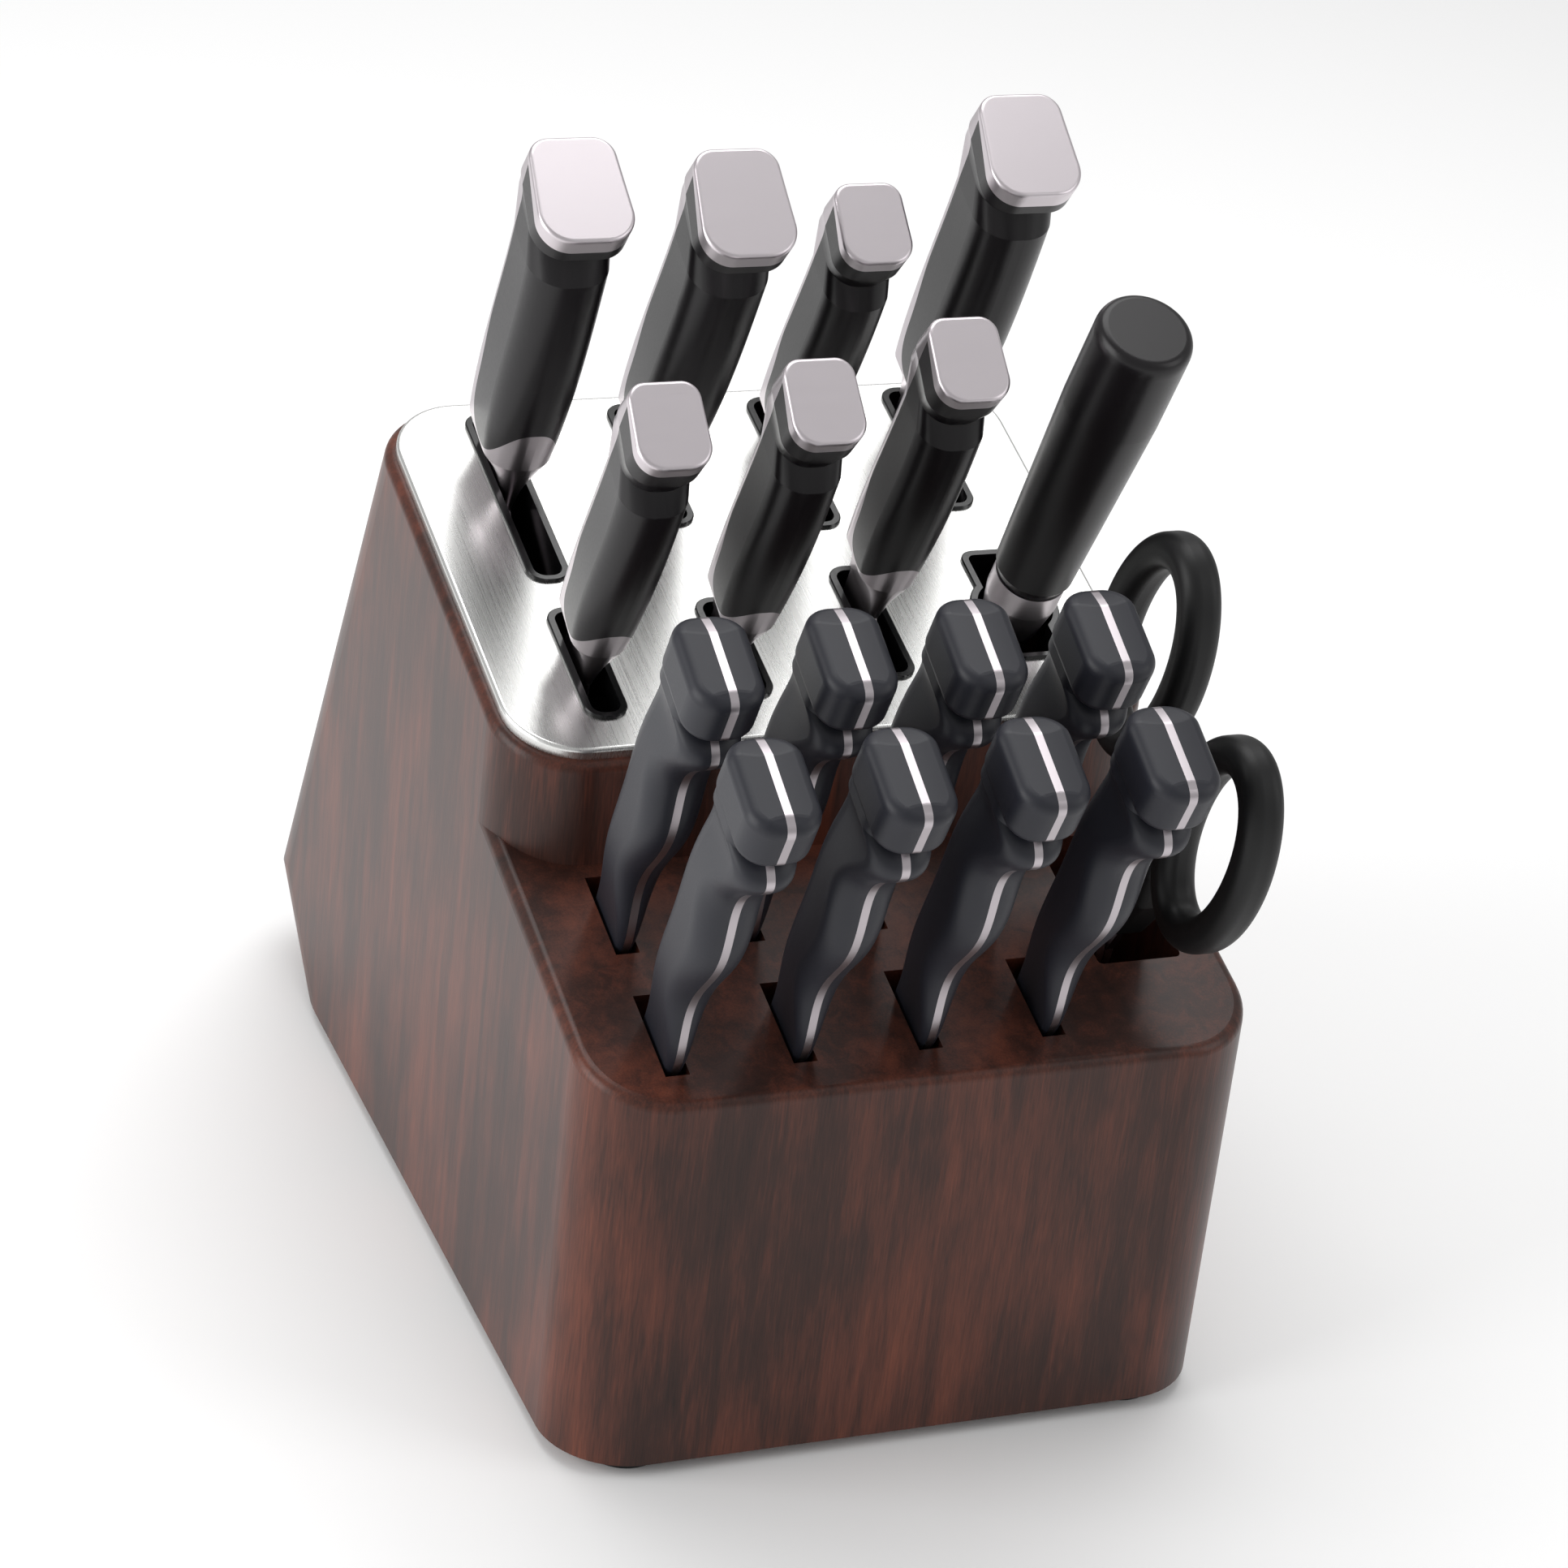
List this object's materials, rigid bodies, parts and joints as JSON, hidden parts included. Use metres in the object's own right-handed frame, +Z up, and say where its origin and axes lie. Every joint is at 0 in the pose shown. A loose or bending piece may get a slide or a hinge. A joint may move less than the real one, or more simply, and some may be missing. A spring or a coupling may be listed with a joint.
{
  "type": "knife block with knives",
  "caption": "Dark wooden two-tier knife block with a brushed steel top plate, kitchen knives, a honing steel, steak knives and shears that lift out of their slots.",
  "frame": {"origin": "bottom centre of the whole set's bounding box, on the surface the feet stand on", "axes": "+X to the right as the user faces the lower tier, +Y toward the tall back of the block, +Z up"},
  "size_m": [0.17, 0.315, 0.2883],
  "materials": {
    "stained_wood": "satin dark walnut stain",
    "brushed_steel_plate": "brushed",
    "black_liner": "gloss moulded",
    "foot_rubber": "matt",
    "screw_steel": "zinc plated",
    "rod_steel": "fine ridged",
    "handle_metal": "satin",
    "blade_steel": "satin ground",
    "black_resin": "satin",
    "soft_grip": "soft touch"
  },
  "bodies": {
    "block": {"block_board_1": "stained_wood", "block_board_2": "stained_wood", "block_board_3": "stained_wood", "block_board_4": "stained_wood", "feet": "foot_rubber", "foot_screws": "screw_steel", "liner_boning": "black_liner", "liner_bread": "black_liner", "liner_chef": "black_liner", "liner_paring": "black_liner", "liner_petty": "black_liner", "liner_slicer": "black_liner", "liner_steel": "black_liner", "liner_utility": "black_liner", "top_plate": "brushed_steel_plate"},
    "chef": {"chef_blade": "blade_steel", "chef_grip": "black_resin", "chef_cap": "handle_metal"},
    "slicer": {"slicer_blade": "blade_steel", "slicer_grip": "black_resin", "slicer_cap": "handle_metal"},
    "utility": {"utility_blade": "blade_steel", "utility_grip": "black_resin", "utility_cap": "handle_metal"},
    "bread": {"bread_blade": "blade_steel", "bread_grip": "black_resin", "bread_cap": "handle_metal"},
    "paring": {"paring_blade": "blade_steel", "paring_grip": "black_resin", "paring_cap": "handle_metal"},
    "boning": {"boning_blade": "blade_steel", "boning_grip": "black_resin", "boning_cap": "handle_metal"},
    "petty": {"petty_blade": "blade_steel", "petty_grip": "black_resin", "petty_cap": "handle_metal"},
    "steak_front_1": {"steak_front_1_blade": "blade_steel", "steak_front_1_scales": "black_resin"},
    "steak_front_2": {"steak_front_2_blade": "blade_steel", "steak_front_2_scales": "black_resin"},
    "steak_front_3": {"steak_front_3_blade": "blade_steel", "steak_front_3_scales": "black_resin"},
    "steak_front_4": {"steak_front_4_blade": "blade_steel", "steak_front_4_scales": "black_resin"},
    "steak_back_1": {"steak_back_1_blade": "blade_steel", "steak_back_1_scales": "black_resin"},
    "steak_back_2": {"steak_back_2_blade": "blade_steel", "steak_back_2_scales": "black_resin"},
    "steak_back_3": {"steak_back_3_blade": "blade_steel", "steak_back_3_scales": "black_resin"},
    "steak_back_4": {"steak_back_4_blade": "blade_steel", "steak_back_4_scales": "black_resin"},
    "steel": {"steel_rod": "rod_steel", "steel_ferrule": "handle_metal", "steel_handle": "black_resin"},
    "shears": {"shears_blade_back": "blade_steel", "shears_handle_back": "soft_grip", "shears_pivot": "screw_steel"},
    "shears_front_half": {"shears_blade_front": "blade_steel", "shears_handle_front": "soft_grip"}
  },
  "joints": [
    {"name": "chef_lift", "type": "slide", "parent": "block", "child": "chef", "axis": [0, -0.3987, 0.9171], "range_m": [0, 0.1866]},
    {"name": "slicer_lift", "type": "slide", "parent": "block", "child": "slicer", "axis": [0, -0.3987, 0.9171], "range_m": [0, 0.1782]},
    {"name": "utility_lift", "type": "slide", "parent": "block", "child": "utility", "axis": [0, -0.3987, 0.9171], "range_m": [0, 0.1592]},
    {"name": "bread_lift", "type": "slide", "parent": "block", "child": "bread", "axis": [0, -0.3987, 0.9171], "range_m": [0, 0.183]},
    {"name": "paring_lift", "type": "slide", "parent": "block", "child": "paring", "axis": [0, -0.3987, 0.9171], "range_m": [0, 0.1124]},
    {"name": "boning_lift", "type": "slide", "parent": "block", "child": "boning", "axis": [0, -0.3987, 0.9171], "range_m": [0, 0.1424]},
    {"name": "petty_lift", "type": "slide", "parent": "block", "child": "petty", "axis": [0, -0.3987, 0.9171], "range_m": [0, 0.133]},
    {"name": "steak_front_1_lift", "type": "slide", "parent": "block", "child": "steak_front_1", "axis": [0, -0.4305, 0.9026], "range_m": [0, 0.135]},
    {"name": "steak_front_2_lift", "type": "slide", "parent": "block", "child": "steak_front_2", "axis": [0, -0.4305, 0.9026], "range_m": [0, 0.135]},
    {"name": "steak_front_3_lift", "type": "slide", "parent": "block", "child": "steak_front_3", "axis": [0, -0.4305, 0.9026], "range_m": [0, 0.135]},
    {"name": "steak_front_4_lift", "type": "slide", "parent": "block", "child": "steak_front_4", "axis": [0, -0.4305, 0.9026], "range_m": [0, 0.135]},
    {"name": "steak_back_1_lift", "type": "slide", "parent": "block", "child": "steak_back_1", "axis": [0, -0.4305, 0.9026], "range_m": [0, 0.135]},
    {"name": "steak_back_2_lift", "type": "slide", "parent": "block", "child": "steak_back_2", "axis": [0, -0.4305, 0.9026], "range_m": [0, 0.135]},
    {"name": "steak_back_3_lift", "type": "slide", "parent": "block", "child": "steak_back_3", "axis": [0, -0.4305, 0.9026], "range_m": [0, 0.135]},
    {"name": "steak_back_4_lift", "type": "slide", "parent": "block", "child": "steak_back_4", "axis": [0, -0.4305, 0.9026], "range_m": [0, 0.135]},
    {"name": "steel_lift", "type": "slide", "parent": "block", "child": "steel", "axis": [0, -0.454, 0.891], "range_m": [0, 0.18]},
    {"name": "shears_lift", "type": "slide", "parent": "block", "child": "shears", "axis": [0, -0.4305, 0.9026], "range_m": [0, 0.123]},
    {"name": "shears_pivot_turn", "type": "hinge", "parent": "shears", "child": "shears_front_half", "pos_m": [0.0625, -0.06156, 0.10447], "axis": [1, 0, 0], "range_deg": [0, 6]}
  ]
}
